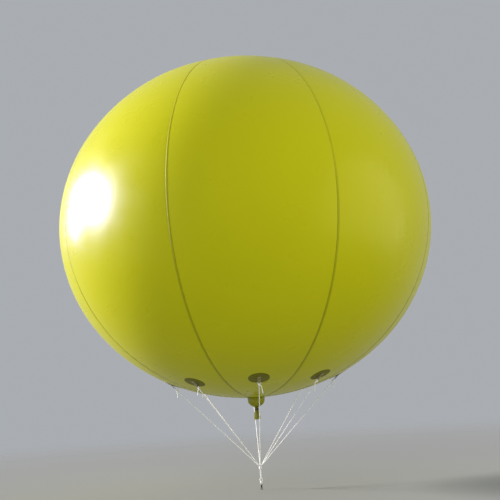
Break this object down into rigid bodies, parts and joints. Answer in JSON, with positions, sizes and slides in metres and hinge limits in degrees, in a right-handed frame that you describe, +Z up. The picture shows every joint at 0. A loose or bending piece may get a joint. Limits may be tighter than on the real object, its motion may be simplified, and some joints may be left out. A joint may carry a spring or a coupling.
{
  "type": "round advertising balloon",
  "caption": "Round, slightly flattened tethered balloon of welded film gores, with load patches, a bridle of taut lines, a tied inflation neck and a tether swivel.",
  "frame": {"origin": "centre of the envelope, where the air holds it up", "axes": "+Z up along the envelope's axis, from the neck to the top cap; -Y through the middle of the first gore and its load patch"},
  "size_m": [3.012, 3.012, 3.4773],
  "materials": {
    "film": "gloss",
    "seam_tape": "gloss",
    "patch_sheet": "satin",
    "webbing": "woven",
    "cord": "braided",
    "tie_cord": "braided",
    "black_metal": "satin"
  },
  "bodies": {
    "balloon": {"gore_1": "film", "gore_2": "film", "gore_3": "film", "gore_4": "film", "gore_5": "film", "gore_6": "film", "gore_7": "film", "gore_8": "film", "seam_1": "seam_tape", "seam_2": "seam_tape", "seam_3": "seam_tape", "seam_4": "seam_tape", "seam_5": "seam_tape", "seam_6": "seam_tape", "seam_7": "seam_tape", "seam_8": "seam_tape", "load_patch_1": "patch_sheet", "load_patch_2": "patch_sheet", "load_patch_3": "patch_sheet", "load_patch_4": "patch_sheet", "load_patch_5": "patch_sheet", "load_patch_6": "patch_sheet", "load_patch_7": "patch_sheet", "load_patch_8": "patch_sheet", "patch_tab_1": "webbing", "patch_tab_2": "webbing", "patch_tab_3": "webbing", "patch_tab_4": "webbing", "patch_tab_5": "webbing", "patch_tab_6": "webbing", "patch_tab_7": "webbing", "patch_tab_8": "webbing", "bridle_line_1": "cord", "bridle_line_2": "cord", "bridle_line_3": "cord", "bridle_line_4": "cord", "bridle_line_5": "cord", "bridle_line_6": "cord", "bridle_line_7": "cord", "bridle_line_8": "cord", "top_cap": "film", "neck_flange": "patch_sheet", "neck_bowl": "patch_sheet", "neck_tie": "tie_cord", "neck_tail": "patch_sheet", "bridle_knot": "cord", "bridle_strand": "cord", "strand_loop": "cord", "end_knot": "cord", "swivel_barrel": "black_metal"},
    "tether_swivel": {"tether_eye": "black_metal"}
  },
  "joints": [
    {"name": "tether_swivel_turn", "type": "hinge", "parent": "balloon", "child": "tether_swivel", "pos_m": [0, 0, -2.0765], "axis": [0, 0, 1], "continuous": true}
  ]
}
